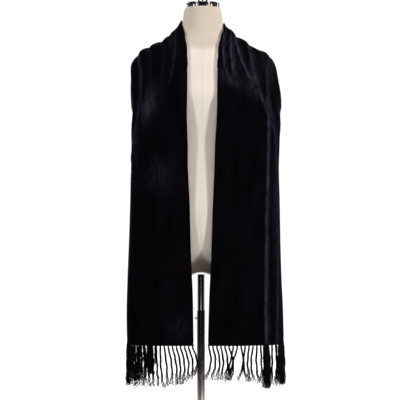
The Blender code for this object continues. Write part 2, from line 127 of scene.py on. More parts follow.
class Finish(Nodes):
    """The material of one kind of surface."""

    def __init__(self, name, colour, roughness, **fixed):
        self.material = bpy.data.materials.new(name)
        self.material.use_nodes = True
        super().__init__(self.material.node_tree)
        self.shader = self.tree.nodes["Principled BSDF"]
        self.set("Base Color", (*colour, 1.0))
        self.set("Roughness", roughness)
        for words, value in fixed.items():
            self.set(words.replace("_", " ").title().replace("Ior", "IOR"), value)

    def set(self, name, value):
        self.feed(self.shader.inputs[name], value)

    def place(self):
        """Where a point lies on the object, in metres."""
        return self.add("ShaderNodeTexCoord", {}, {}, "Object")

    def noise(self, size, detail=3.0, roughness=0.55, at=None):
        """Soft noise whose patches are about the given size in metres."""
        values = {"Scale": 1.0 / size, "Detail": detail, "Roughness": roughness,
                  "Vector": at or self.place()}
        return self.add("ShaderNodeTexNoise", {}, values, "Fac")

    def axis(self, place, name):
        return self.add("ShaderNodeSeparateXYZ", {}, {"Vector": place}, name)

    def blend(self, share, first, second):
        """The first colour where the share is 0 and the second where it is 1."""
        def colour(value):
            return value if isinstance(value, Shade) else (*value, 1.0)
        return self.add("ShaderNodeMix", {"data_type": "RGBA"},
                        {0: share, 6: colour(first), 7: colour(second)}, 2)

    def relief(self, height, depth):
        self.set("Normal", self.add("ShaderNodeBump", {}, {"Height": height, "Distance": depth}))


def new_piece(name, points, faces, finishes, sharp_degrees=40, finish_of=None):
    mesh = bpy.data.meshes.new(name)
    mesh.from_pydata([tuple(map(float, point)) for point in points], [], faces)
    for finish in finishes:
        mesh.materials.append(finish.material)
    if finish_of is not None:
        mesh.polygons.foreach_set("material_index", finish_of)
    mesh.shade_smooth()
    mesh.set_sharp_from_angle(angle=math.radians(sharp_degrees))
    piece = bpy.data.objects.new(name, mesh)
    bpy.context.scene.collection.objects.link(piece)
    return piece


def band_faces(rings, sides, first=0, closed_tube=False):
    """Faces between rings of points that follow each other, from the point numbered first."""
    faces = []
    for ring in range(rings if closed_tube else rings - 1):
        here, above = first + ring * sides, first + (ring + 1) % rings * sides
        for step in range(sides):
            after = (step + 1) % sides
            faces.append((here + step, here + after, above + after, above + step))
    return faces


def end_faces(rings, sides, first=0):
    last = first + (rings - 1) * sides
    return [tuple(range(first + sides - 1, first - 1, -1)), tuple(range(last, last + sides))]


def turned(name, profile, finish, at=(0.0, 0.0), sides=96, lobed=None, closed_tube=False,
           notch=0.0, groove_finish=None, groove_from=0.4):
    """A piece turned round the upright axis from its profile of (radius, height), going up.

    lobed gives the depth of the grooves round it, and notch how much of that depth also
    lowers the top. A groove has its own finish where it is deeper than groove_from of the most.
    """
    points = []
    turns = [2.0 * math.pi * step / sides for step in range(sides)]
    depths = [0.0 if lobed is None else lobed(turn) for turn in turns]
    bottom, top = profile[0][1], profile[-1][1]
    for radius, height in profile:
        for turn, depth in zip(turns, depths):
            lowered = height - notch * depth * (height - bottom) / (top - bottom)
            points.append((at[0] + (radius - depth) * math.cos(turn),
                           at[1] + (radius - depth) * math.sin(turn), lowered))
    faces = band_faces(len(profile), sides, closed_tube=closed_tube)
    if not closed_tube:
        faces += end_faces(len(profile), sides)
    if groove_finish is None:
        return new_piece(name, points, faces, [finish])
    in_groove = [depth > groove_from * max(depths) for depth in depths]
    finish_of = [int(len(face) == 4 and in_groove[face[0] % sides]) for face in faces]
    return new_piece(name, points, faces, [finish, groove_finish], finish_of=finish_of)


def rounded(radius, height, edge, steps=4, toward=1):
    """Profile points of a rounded outer edge, going up round it: an upper edge, or a lower one
    where toward is -1, with its flat face at the height."""
    arc = [math.pi / 2 * step / steps for step in range(steps + 1)]
    if toward < 0:
        return [(radius - edge + edge * math.sin(turn), height + edge - edge * math.cos(turn))
                for turn in arc]
    return [(radius - edge + edge * math.cos(turn), height - edge + edge * math.sin(turn))
            for turn in arc]


NodeBox = namedtuple("NodeBox", "middle half low high")


def node_box(node):
    low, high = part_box(node)
    return NodeBox((low + high) / 2, (high - low) / 2, low, high)


plating = Finish("satin_plating", (0.14, 0.136, 0.135), 0.50, metallic=1.0)
plate_x, plate_y = [plating.axis(plating.place(), name) for name in "XY"]
from_axis = (plate_x * plate_x + plate_y * plate_y).root()
ripple_radians_a_metre = 9000.0
turning_marks = (from_axis * ripple_radians_a_metre).sine() * 0.5 + plating.noise(0.004)
plating.set("Roughness", 0.43 + 0.14 * plating.noise(0.05) + 0.04 * turning_marks)
plating.relief(turning_marks, 0.00004)

plate = node_box("base_plate")
plate_edge, plate_flat = 0.0022, 0.16
base_profile = (rounded(plate.half.x, 0.0, plate_edge, toward=-1)
                + rounded(plate.half.x, plate.high.z, plate_edge) + [(plate_flat, plate.high.z)])
base_plate = turned("stand_base_plate", base_profile, plating, sides=160)
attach(base_plate, "stand")
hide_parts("base_plate")

hub = node_box("base_hub")
collar = node_box("pole_sleeve").half.x + 0.005
flange, flange_edge, collar_height, collar_edge = 0.006, 0.002, 0.010, 0.0015
hub_steps, hub_hollow = 12, 2.2
hub_profile = (rounded(hub.half.x, hub.low.z, flange_edge / 2, toward=-1)
               + rounded(hub.half.x, hub.low.z + flange, flange_edge))
for step in range(1, hub_steps + 1):
    share = step / hub_steps
    flare = (hub.half.x - 2.0 * flange_edge - collar) * (1.0 - share) ** hub_hollow
    hub_profile.append((collar + flare, hub.low.z + flange
                        + (hub.high.z - hub.low.z - flange - collar_height) * share))
hub_profile += rounded(collar, hub.high.z, collar_edge)
base_hub = turned("stand_base_hub", hub_profile, plating)
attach(base_hub, "stand")
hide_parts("base_hub")


# Telescoping pole
# Two polished steel tubes: the lower stands in the hub, and the upper, which carries the form,
# slides in it. A small knurled screw through the lower tube's wall sets the height.

polish = Finish("polished_steel", (0.47, 0.41, 0.40), 0.16, metallic=1.0)
polish.set("Roughness", 0.12 + 0.04 * polish.noise(0.08, detail=1.0))
draw_marks = polish.add("ShaderNodeMapping", {},
                        {"Vector": polish.place(), "Scale": (1.0, 1.0, 0.002)})
polish.relief(polish.noise(0.0030, detail=1.0, at=draw_marks), 0.000003)

sleeve = node_box("pole_sleeve")
bore, lip = 0.0108, 0.0006
sleeve_profile = [(bore, sleeve.low.z), (sleeve.half.x, sleeve.low.z)]
sleeve_profile += rounded(sleeve.half.x, sleeve.high.z, lip / 2)
sleeve_profile += [(bore + lip / 2, sleeve.high.z), (bore, sleeve.high.z - lip / 2)]
pole_sleeve = turned("pole_lower_tube", sleeve_profile, polish, closed_tube=True)
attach(pole_sleeve, "stand")
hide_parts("pole_sleeve")

upper_tube = node_box("pole_rod")
tube_into_board = 0.012
rod_profile = (rounded(upper_tube.half.x, upper_tube.low.z, lip, toward=-1)
               + [(upper_tube.half.x, upper_tube.high.z + tube_into_board)])
pole_rod = turned("pole_upper_tube", rod_profile, polish)
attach(pole_rod, "form")
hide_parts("pole_rod")

screw = node_box("height_screw")
screw_length = screw.high.x - screw.low.x
screw_edge, screw_dish, knurls, knurl_depth = 0.0009, 0.0004, 18, 0.00036


def knurl(turn):
    return knurl_depth / 2 * (1.0 + math.cos(knurls * turn))


screw_profile = (rounded(screw.half.z, 0.0, screw_dish, toward=-1)
                 + rounded(screw.half.z, screw_length, screw_edge)
                 + [(0.0012, screw_length - screw_dish)])
height_screw = turned("pole_height_screw", screw_profile, polish, sides=72, lobed=knurl)
height_screw.location = (screw.high.x, 0.0, screw.middle.z)
height_screw.rotation_euler = (0.0, -math.pi / 2, 0.0)
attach(height_screw, "stand")
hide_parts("height_screw")


# Dress form
# A padded shell covered tightly with cream linen, sewn in panels that meet at the centre front,
# the princess lines, the sides and the centre back. The neck has its own slightly darker cover,
# and the lower edge rises a little in front. Painted shade darkens the linen towards that edge.

FormRing = namedtuple("FormRing", "height half_width front back square")
form_rings = [FormRing(*row) for row in (
    (0.7520, 0.150, 0.066, 0.086, 2.2),
    (0.7680, 0.163, 0.078, 0.098, 2.2),
    (0.8150, 0.173, 0.101, 0.110, 2.2),
    (0.8700, 0.170, 0.109, 0.110, 2.2),
    (0.9300, 0.158, 0.112, 0.102, 2.2),
    (0.9950, 0.141, 0.110, 0.090, 2.1),
    (1.0700, 0.132, 0.106, 0.085, 2.1),
    (1.1350, 0.143, 0.104, 0.090, 2.1),
    (1.1900, 0.160, 0.108, 0.097, 2.2),
    (1.2500, 0.177, 0.110, 0.103, 2.2),
    (1.3000, 0.189, 0.099, 0.103, 2.3),
    (1.3300, 0.1945, 0.093, 0.099, 2.3),
    (1.3480, 0.190, 0.088, 0.094, 2.2),
    (1.3620, 0.177, 0.083, 0.089, 2.2),
    (1.3770, 0.155, 0.078, 0.083, 2.1),
    (1.3930, 0.126, 0.072, 0.076, 2.0),
    (1.4090, 0.094, 0.066, 0.069, 2.0),
    (1.4230, 0.071, 0.061, 0.064, 2.0),
    (1.4420, 0.0595, 0.058, 0.060, 2.0),
    (1.4650, 0.0565, 0.0565, 0.058, 2.0),
    (1.4960, 0.0520, 0.0540, 0.0550, 2.0),
    (1.5000, 0.0500, 0.0520, 0.0530, 2.0),
)]
form_bottom, form_top = form_rings[0].height, form_rings[-1].height
form_lean = 0.0045
edge_rise, edge_rise_reach, edge_rise_top = 0.0085, 0.031, 0.800
form_sides, form_step = 120, 0.006


def smooth_through(keys, values, at):
    """Cubic steps through the rows, with slopes that never overshoot a row."""
    keys, values = np.asarray(keys, float), np.asarray(values, float)
    width = np.diff(keys)
    rise = np.diff(values) / width
    product, total = rise[:-1] * rise[1:], rise[:-1] + rise[1:]
    slope = np.concatenate(([rise[0]], np.zeros(len(rise) - 1), [rise[-1]]))
    same_way = product > 0
    slope[1:-1][same_way] = 2.0 * product[same_way] / total[same_way]
    row = np.clip(np.searchsorted(keys, at) - 1, 0, len(width) - 1)
    part = (at - keys[row]) / width[row]
    start, end = values[row], values[row + 1]
    leave, arrive = slope[row] * width[row], slope[row + 1] * width[row]
    bend = 3.0 * (end - start) - 2.0 * leave - arrive
    return start + part * (leave + part * (bend + part * (leave + arrive - 2.0 * (end - start))))


def column(rows, field):
    return [getattr(row, field) for row in rows]


def lean(height):
    return form_lean * np.clip((height - form_bottom) / (form_top - form_bottom), 0.0, 1.0)


def section_point(half_width, front, back, square, turn):
    """Point of a rounded section: turn 0 is the front centre, 90 the side, 180 the back."""
    angle = np.radians(turn)
    across, fore = np.sin(angle), np.cos(angle)
    x = half_width * np.sign(across) * np.abs(across) ** (2.0 / square)
    y = (back - front) / 2 - (back + front) / 2 * np.sign(fore) * np.abs(fore) ** (2.0 / square)
    return x, y


def form_row(height, turns, margin=0.0):
    keys = column(form_rings, "height")
    half_width, front, back, square = [smooth_through(keys, column(form_rings, field), height)
                                       for field in ("half_width", "front", "back", "square")]
    x, y = section_point(half_width - margin, front - margin, back - margin, square, turns)
    fade = np.clip((edge_rise_top - height) / (edge_rise_top - form_bottom), 0.0, 1.0)
    rise = edge_rise * fade * np.exp(-(x / edge_rise_reach) ** 2) * (y < 0.0)
    return np.stack([x + lean(height), y, height + rise], axis=1)


def closing_faces(ring, upward):
    """Faces that close a ring of points in strips from front to back."""
    quarter, half = form_sides // 4, form_sides // 2
    for side in range(quarter, 3 * quarter):
        corners = (side, side + 1, (half - side - 1) % form_sides, (half - side) % form_sides)
        corners = list(dict.fromkeys(ring + corner for corner in corners))
        yield tuple(corners if upward else reversed(corners))


form_turns = np.linspace(-180.0, 180.0, form_sides + 1)
form_heights = np.concatenate([np.linspace(low, high, max(2, round((high - low) / form_step)),
                                           endpoint=False)
                               for low, high in zip(column(form_rings, "height"),
                                                    column(form_rings, "height")[1:])]
                              + [[form_top]])
form_grid = np.array([form_row(height, form_turns) for height in form_heights])
form_points = form_grid[:, :-1].reshape(-1, 3)
form_faces, form_places = [], []
for row in range(len(form_heights) - 1):
    for side in range(form_sides):
        corners = ((row, side), (row, side + 1), (row + 1, side + 1), (row + 1, side))
        form_faces.append(tuple(r * form_sides + s % form_sides for r, s in corners))
        form_places.extend((form_turns[s] / 180.0, form_heights[r]) for r, s in corners)
last_ring = (len(form_heights) - 1) * form_sides
for ring, height, upward in ((0, form_bottom, False), (last_ring, form_top, True)):
    for face in closing_faces(ring, upward):
        form_faces.append(face)
        form_places.extend((form_turns[point - ring] / 180.0, height) for point in face)

linen = Finish("linen_cover", (0.80, 0.74, 0.67), 0.88, sheen_weight=0.12, sheen_roughness=0.5,
               specular_ior_level=0.25)
panels = linen.add("ShaderNodeUVMap", {"uv_map": "panels"}, {})
turn_share, cover_height = abs(linen.axis(panels, "X")), linen.axis(panels, "Y")
seam_reach, front_seam, panel_seams, neck_seam = 0.0045, 0.25, 0.60, 0.30
princess, side_seam, back_princess, centre_back = 0.235, 0.5, 0.77, 1.0
seam_line = front_seam * turn_share.within(seam_reach)
for seam_turn in (princess, side_seam, back_princess, centre_back):
    seam_line = seam_line.larger(panel_seams * (turn_share - seam_turn).within(seam_reach))
neck_seam_front, neck_seam_rise, neck_seam_bend = 1.378, 0.046, 0.85
neck_seam_reach, neck_change = 0.0016, 0.014
above_seam = cover_height - (neck_seam_front + neck_seam_rise * turn_share.power(neck_seam_bend))
neck_share = (0.5 + above_seam / neck_change).kept(0.0, 1.0)
neck_line = neck_seam * above_seam.within(neck_seam_reach)
any_seam = (seam_line * (1.0 - neck_share)).larger(neck_line)
thread_scale, thread_wobble = 520.0, 1.2
warp, weft = [linen.add("ShaderNodeTexWave", {"wave_type": "BANDS", "bands_direction": along},
                        {"Vector": linen.place(), "Scale": thread_scale,
                         "Distortion": thread_wobble, "Detail": 1.0}, "Fac") for along in "ZX"]
slubs = linen.noise(0.0035, detail=4.0)
soiling = linen.noise(0.11, detail=2.0)
body_cloth = linen.blend(soiling, (0.80, 0.72, 0.64), (0.72, 0.64, 0.55))
neck_cloth = linen.blend(soiling, (0.64, 0.54, 0.45), (0.56, 0.46, 0.38))
cover = linen.blend(neck_share, body_cloth, neck_cloth)
cover = linen.blend(0.10 * slubs, cover, (0.42, 0.36, 0.30))
# Painted shade: below the hips the linen's colour is darkened and browned towards the lower edge.
shaded_below, shade_depth = 0.812, 0.05
painted_lower_shade = ((shaded_below - cover_height) / shade_depth).kept(0.0, 1.0)
cover = linen.blend(0.60 * painted_lower_shade, cover, (0.62, 0.44, 0.35))
linen.set("Base Color", linen.blend(0.45 * any_seam, cover, (0.36, 0.30, 0.25)))
linen.relief(0.25 * warp + 0.25 * weft + 0.3 * slubs - 1.6 * any_seam, 0.00035)

form_cover = new_piece("form_linen_cover", form_points, form_faces, [linen], 60)
panel_map = form_cover.data.uv_layers.new(name="panels")
panel_map.data.foreach_set("uv", np.array(form_places, float).ravel())
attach(form_cover, "form")
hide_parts("form_torso")
form_tree = BVHTree.FromPolygons([Vector(point) for point in form_points], form_faces)


# Closing board of the form
# A painted board, a little smaller than the form, closes its lower end, and the pole is
# screwed up into it. A bright metal band round its edge shows as a thin pale rim.

board_paint = Finish("board_paint", (0.82, 0.80, 0.76), 0.48)
board_paint.set("Roughness", 0.40 + 0.18 * board_paint.noise(0.02))
board_paint.relief(board_paint.noise(0.0015), 0.00008)
board = node_box("form_bottom_plate")
board_margin, board_round, round_steps = 0.003, 0.0025, 4
board_points = []
board_levels = [(board.low.z + board_round * (1.0 - math.cos(math.pi / 2 * step / round_steps)),
                 board_margin + board_round * (1.0 - math.sin(math.pi / 2 * step / round_steps)))
                for step in range(round_steps + 1)] + [(board.high.z, board_margin)]
for height, margin in board_levels:
    for point in form_row(form_bottom, form_turns[:-1], margin):
        board_points.append((point[0], point[1], height + point[2] - form_bottom))
board_faces = band_faces(len(board_levels), form_sides)
rim_faces = len(board_faces)
board_faces += closing_faces(0, False)
board_faces += closing_faces(len(board_points) - form_sides, True)
rim_band = Finish("bright_rim_band", (0.86, 0.85, 0.83), 0.32, metallic=1.0)
rim_band.set("Roughness", 0.26 + 0.14 * rim_band.noise(0.02))
form_board = new_piece("form_closing_board", board_points, board_faces, [board_paint, rim_band],
                       50, [1] * rim_faces + [0] * (len(board_faces) - rim_faces))
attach(form_board, "form")
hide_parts("form_bottom_plate")


# Neck cap and knob
# A cast cap with eight rounded lobes closes the neck, and its pale seat shows in the grooves
# between them. Three thin rods on it carry a turned knob, by which the form is lifted. Cap, rods
# and knob are dark polished metal.

dark_polish = Finish("dark_polished_metal", (0.10, 0.09, 0.088), 0.16, metallic=1.0)
dark_polish.set("Roughness", 0.11 + 0.16 * dark_polish.noise(0.012))
dark_polish.set("Base Color", dark_polish.blend(dark_polish.noise(0.03), (0.12, 0.105, 0.10),
                                                (0.075, 0.07, 0.072)))
cap = node_box("neck_cap")
cap_lobes, groove_depth, groove_share, groove_notch = 8, 0.0045, 0.18, 1.3
lobe_turn = 2.0 * math.pi / cap_lobes


def cap_groove(turn):
    from_lobe = abs((turn + math.pi / 2 + lobe_turn / 2) % lobe_turn - lobe_turn / 2)
    into = (from_lobe - lobe_turn * (0.5 - groove_share)) / (lobe_turn * groove_share)
    return groove_depth * min(max(into, 0.0), 1.0) ** 2


dish_rim, dish_start, dish_flat, dish_depth = 0.62, 0.60, 0.30, 0.0010
cap_profile = (rounded(cap.half.x, cap.low.z, 0.002, toward=-1)
               + rounded(cap.half.x, cap.high.z, 0.0028)
               + [(cap.half.x * dish_rim, cap.high.z - dish_depth / 5),
                  (cap.half.x * dish_start, cap.high.z - dish_depth),
                  (cap.half.x * dish_flat, cap.high.z - dish_depth)])
cap_seat = Finish("pale_cap_seat", (0.82, 0.79, 0.75), 0.50)
cap_seat.set("Roughness", 0.42 + 0.16 * cap_seat.noise(0.004))
neck_cap = turned("form_neck_cap", cap_profile, dark_polish, (cap.middle.x, 0.0), cap_lobes * 24,
                  cap_groove, notch=groove_notch, groove_finish=cap_seat)
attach(neck_cap, "form")
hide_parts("neck_cap")
foot_width, foot_height, foot_top = 1.35, 0.0012, 0.002
for number in (1, 2, 3):
    node = f"finial_rod_{number}"
    upright = node_box(node)
    foot = upright.half.x * foot_width
    rod = turned(f"form_{node}", [(foot, upright.low.z), (foot, upright.low.z + foot_height),
                                  (upright.half.x, upright.low.z + foot_top),
                                  (upright.half.x, upright.high.z)],
                 dark_polish, (upright.middle.x, 0.0), 40)
    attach(rod, "form")
    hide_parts(node)
knob = node_box("finial_knob")
knob_from, knob_to, knob_steps = math.radians(-64), math.radians(84), 26
knob_profile = []
for step in range(knob_steps + 1):
    swing = knob_from + (knob_to - knob_from) * step / knob_steps
    lift = (math.sin(swing) - math.sin(knob_from)) / (math.sin(knob_to) - math.sin(knob_from))
    knob_profile.append((knob.half.x * math.cos(swing),
                         knob.low.z + (knob.high.z - knob.low.z) * lift))
neck_knob = turned("form_neck_knob", knob_profile, dark_polish, (knob.middle.x, 0.0))
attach(neck_knob, "form")
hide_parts("finial_knob")


# Velvet scarf
# One long rectangle of black silk velvet with narrow turned edges, laid round the nape and over
# both shoulders, so that its ends hang in front. It is gathered at the neck into soft lengthwise
# folds, and each end turns back round the side of the form. Painted highlights lighten its colour
# along the fold crests and in patches.

LEFT, RIGHT = -1, 1
scarf_width = 0.300
scarf_wall = 0.0020
turned_edge = 0.0034
turned_width = 0.005
scarf_on_form = 0.0007
hem_height = 0.562

ClothRing = namedtuple("ClothRing", "height left right front back_left back_right square")
cloth_rings = [ClothRing(*row) for row in (
    (0.540, 0.204, 0.230, 0.112, 0.030, 0.040, 2.9),
    (0.650, 0.206, 0.228, 0.115, 0.060, 0.065, 2.8),
    (0.750, 0.204, 0.224, 0.117, 0.088, 0.090, 2.7),
    (0.850, 0.201, 0.221, 0.119, 0.102, 0.102, 2.6),
    (0.960, 0.1985, 0.2185, 0.120, 0.104, 0.104, 2.5),
    (1.040, 0.1975, 0.216, 0.121, 0.104, 0.104, 2.5),
    (1.126, 0.1965, 0.218, 0.122, 0.105, 0.105, 2.4),
    (1.205, 0.194, 0.219, 0.122, 0.107, 0.107, 2.4),
    (1.245, 0.195, 0.217, 0.116, 0.108, 0.108, 2.4),
    (1.287, 0.198, 0.2135, 0.108, 0.108, 0.108, 2.4),
    (1.314, 0.199, 0.210, 0.102, 0.106, 0.106, 2.4),
    (1.336, 0.1985, 0.205, 0.097, 0.102, 0.102, 2.3),
    (1.353, 0.193, 0.198, 0.092, 0.097, 0.097, 2.3),
    (1.368, 0.178, 0.181, 0.087, 0.091, 0.091, 2.2),
    (1.383, 0.154, 0.156, 0.081, 0.085, 0.085, 2.1),
    (1.399, 0.124, 0.125, 0.074, 0.078, 0.078, 2.0),
    (1.415, 0.093, 0.094, 0.067, 0.071, 0.071, 2.0),
    (1.430, 0.071, 0.073, 0.062, 0.066, 0.066, 2.0),
    (1.447, 0.0610, 0.0620, 0.0595, 0.0625, 0.0625, 2.0),
    (1.480, 0.0590, 0.0600, 0.0580, 0.0605, 0.0605, 2.0),
)]
Rib = namedtuple("Rib", "inner_turn inner_height outer_turn outer_height spread")
yoke_ribs = (
    Rib(180, 1.462, 180, 1.000, 0.84),
    Rib(150, 1.463, 157, 1.000, 0.85),
    Rib(120, 1.465, 138, 1.000, 0.86),
    Rib(94, 1.466, 126, 1.000, 0.88),
    Rib(73, 1.4515, 140, 1.000, 0.89),
    Rib(52, 1.4345, 158, 1.000, 0.91),
    Rib(33, 1.4165, 176, 1.010, 0.93),
)
right_drop, drop_turn, drop_turns = 0.008, 94, 86
gathered_above, gathered_spread = 1.28, 0.96
FrontEdge = namedtuple("FrontEdge", "height left right drop")
front_edge = [FrontEdge(*row) for row in (
    (1.375, 0.0432, 0.0445, 0.330),
    (1.345, 0.0418, 0.0432, 0.305),
    (1.300, 0.0420, 0.0430, 0.270),
    (1.200, 0.0425, 0.0420, 0.180),
    (1.080, 0.0395, 0.0370, 0.100),
    (0.950, 0.0335, 0.0325, 0.050),
    (0.820, 0.0295, 0.0295, 0.020),
    (0.690, 0.0235, 0.0235, 0.006),
    (hem_height, 0.0215, 0.0200, 0.0),
)]
# The last column of each fold says how strongly a painted highlight lightens the velvet's colour
# along its crest and one flank.
Fold = namedtuple("Fold", "side start end at_start at_middle at_end height half_width shine")
folds = [Fold(*row) for row in (
    (RIGHT, -0.10, 0.20, 0.036, 0.036, 0.050, 0.0050, 0.0120, 0.2),
    (RIGHT, 0.10, 0.31, 0.004, 0.012, 0.032, 0.0045, 0.0060, 0.8),
    (RIGHT, 0.08, 0.30, 0.018, 0.034, 0.054, 0.0060, 0.0075, 1.0),
    (RIGHT, 0.06, 0.30, 0.024, 0.052, 0.134, 0.0075, 0.0065, 1.1),
    (RIGHT, 0.02, 0.36, 0.052, 0.098, 0.160, 0.0065, 0.0090, 0.8),
    (RIGHT, 0.04, 0.40, 0.150, 0.162, 0.170, 0.0040, 0.0080, 0.55),
    (RIGHT, 0.02, 0.40, 0.208, 0.212, 0.222, 0.0010, 0.0130, 0.1),
    (RIGHT, 0.26, 1.13, 0.158, 0.150, 0.163, 0.0060, 0.0060, 1.0),
    (RIGHT, 0.28, 1.13, 0.174, 0.196, 0.186, 0.0020, 0.0110, 0.4),
    (RIGHT, 0.34, 1.13, 0.062, 0.078, 0.070, 0.0040, 0.0280, 0.0),
    (RIGHT, 0.48, 1.13, 0.225, 0.232, 0.226, 0.0005, 0.0240, 0.0),
    (LEFT, -0.10, 0.22, 0.034, 0.034, 0.050, 0.0115, 0.0160, 0.2),
    (LEFT, -0.10, 0.16, 0.013, 0.013, 0.016, 0.0050, 0.0090, 0.0),
    (RIGHT, -0.10, 0.16, 0.013, 0.013, 0.016, 0.0060, 0.0090, 0.0),
    (LEFT, 0.08, 0.32, 0.020, 0.034, 0.060, 0.0050, 0.0065, 0.3),
    (LEFT, 0.00, 0.34, 0.066, 0.070, 0.092, 0.0060, 0.0100, 0.08),
    (LEFT, 0.00, 0.32, 0.112, 0.115, 0.130, 0.0060, 0.0110, 0.08),
    (LEFT, 0.06, 0.52, 0.150, 0.158, 0.186, 0.0075, 0.0085, 0.5),
    (LEFT, 0.02, 0.40, 0.210, 0.212, 0.222, 0.0020, 0.0140, 0.1),
    (LEFT, 0.38, 1.13, 0.094, 0.080, 0.098, 0.0040, 0.0300, 0.0),
    (LEFT, 0.50, 1.13, 0.222, 0.230, 0.224, 0.0010, 0.0240, 0.0),
)]
fold_fade, painted_sheen_start, painted_sheen_fade = 0.05, 0.10, 0.09
painted_flank_weight, flank_aside, crest_sharpness = 0.32, 1.2, 2.4
# Patches of painted sheen, where the velvet's colour is lightened to look lit.
Patch = namedtuple("Patch", "side along across reach_along reach_across shine")
painted_sheen_patches = [Patch(*row) for row in (
    (RIGHT, 0.285, 0.036, 0.022, 0.034, 0.36),
    (RIGHT, 0.255, 0.112, 0.045, 0.022, 0.54),
    (RIGHT, 0.200, 0.066, 0.040, 0.012, 0.22),
    (RIGHT, 0.150, 0.172, 0.060, 0.030, 0.30),
    (LEFT, 0.325, 0.125, 0.050, 0.026, 0.74),
    (LEFT, 0.380, 0.172, 0.090, 0.016, 0.46),
    (LEFT, 0.560, 0.080, 0.050, 0.040, 0.20),
    (RIGHT, 0.620, 0.190, 0.160, 0.016, 0.22),
    (LEFT, 0.990, 0.035, 0.030, 0.030, 0.16),
)]
flutes_behind, flute_depth, flute_reach = 2.5, 0.006, 0.36


def cloth_point(side, turn, height):
    keys = column(cloth_rings, "height")
    own = ("left", "front", "back_left", "square")
    other = ("right", "front", "back_right", "square")
    half_width, front, back, square = [smooth_through(keys, column(cloth_rings, field), height)
                                       for field in (own if side == LEFT else other)]
    x, y = section_point(half_width, front, back, square, turn)
    return np.stack([side * x + lean(height), y, height], axis=-1)


def rib_rows(side):
    """Rows of the scarf's cross ribs, from the middle of the back to the hem in front."""
    keys = column(cloth_rings, "height")
    rows = []
    for rib in yoke_ribs:
        lower = right_drop * max(0.0, 1.0 - abs(rib.inner_turn - drop_turn) / drop_turns)
        rows.append(rib._replace(inner_height=rib.inner_height - lower * (side == RIGHT)))
    for edge in front_edge:
        half_width = smooth_through(keys, column(cloth_rings, "left" if side == LEFT else "right"),
                                    edge.height)
        square = smooth_through(keys, column(cloth_rings, "square"), edge.height)
        inner = edge.left if side == LEFT else edge.right
        turn = math.degrees(math.asin((inner / half_width) ** (square / 2)))
        spread = 1.0 if edge.height < gathered_above else gathered_spread
        rows.append(Rib(turn, edge.height, 180, edge.height - edge.drop, spread))
    return rows


def inner_edge_marks(side):
    rows = rib_rows(side)
    edge = cloth_point(side, np.array(column(rows, "inner_turn"), float),
                       np.array(column(rows, "inner_height"), float))
    return np.concatenate(([0.0], np.cumsum(np.linalg.norm(np.diff(edge, axis=0), axis=1))))


def scarf_ribs(side, alongs, acrosses):
    """Points of the scarf's middle surface: a rib for each length along, cut to its width."""
    rows, keys = rib_rows(side), inner_edge_marks(side)
    reach = np.linspace(0.0, 1.0, 200)
    ribs = []
    for along in alongs:
        rib = Rib(*[float(smooth_through(keys, column(rows, field), along))
                    for field in Rib._fields])
        turn = rib.inner_turn + (rib.outer_turn - rib.inner_turn) * reach
        height = rib.inner_height + (rib.outer_height - rib.inner_height) * reach
        path = cloth_point(side, turn, height)
        walked = np.concatenate(([0.0], np.cumsum(np.linalg.norm(np.diff(path, axis=0), axis=1))))
        wanted = np.asarray(acrosses) * rib.spread
        ribs.append(np.stack([np.interp(wanted, walked, path[:, axis]) for axis in range(3)],
                             axis=1))
    return np.array(ribs)


def eased(share):
    share = np.clip(share, 0.0, 1.0)
    return share * share * (3.0 - 2.0 * share)


def fold_rise(side, along, acrosses):
    """How far the cloth stands out from its plain drape at one length along, and how much painted
    highlight its colour gets there.

    A fold's crest runs on a smooth curve through its places at start, middle and end.
    """
    rise, shine = np.zeros(len(acrosses)), np.zeros(len(acrosses))
    for fold in folds:
        if fold.side != side or not fold.start < along < fold.end:
            continue
        run = (along - fold.start) / (fold.end - fold.start)
        crest = (fold.at_start * (1.0 - run) * (1.0 - 2.0 * run)
                 + fold.at_middle * 4.0 * run * (1.0 - run)
                 + fold.at_end * run * (2.0 * run - 1.0))
        fade = eased((along - fold.start) / fold_fade) * eased((fold.end - along) / fold_fade)
        aside = (acrosses - crest) / fold.half_width
        rise += fold.height * fade * np.exp(-aside ** 2)
        # Painted highlight: a narrow line on the crest and a softer band beside it, kept for the
        # velvet's colour.
        painted_crest_highlight = np.exp(-(aside * crest_sharpness) ** 2)
        painted_flank_highlight = painted_flank_weight * np.exp(-(aside - flank_aside) ** 2)
        fade *= eased((along - painted_sheen_start) / painted_sheen_fade)
        shine = np.maximum(shine, fold.shine * fade * (painted_crest_highlight + painted_flank_highlight))
    for patch in painted_sheen_patches:
        if patch.side == side:
            away = (((along - patch.along) / patch.reach_along) ** 2
                    + ((acrosses - patch.across) / patch.reach_across) ** 2)
            shine = np.maximum(shine, patch.shine * np.exp(-away))
    if along < flute_reach:
        wave = 0.5 + 0.5 * math.sin(2.0 * math.pi * flutes_behind * along / flute_reach)
        fade = math.sin(math.pi * along / flute_reach)
        rise += flute_depth * (acrosses / scarf_width) ** 2 * fade * wave
    return rise, shine


def outward(grid):
    along, across = np.gradient(grid, axis=0), np.gradient(grid, axis=1)
    normals = np.cross(along, across)
    return normals / np.linalg.norm(normals, axis=2, keepdims=True)


yoke_length, yoke_step, panel_step, steps_across = 0.36, 0.005, 0.011, 118


def row_marks(length):
    """Lengths along the scarf of the cloth's rows, closer together over the shoulder."""
    yoke = np.arange(0.0, yoke_length, yoke_step)
    panel_rows = round((length - yoke[-1]) / panel_step)
    return np.concatenate((yoke, np.linspace(yoke[-1], length, panel_rows + 1)[1:]))


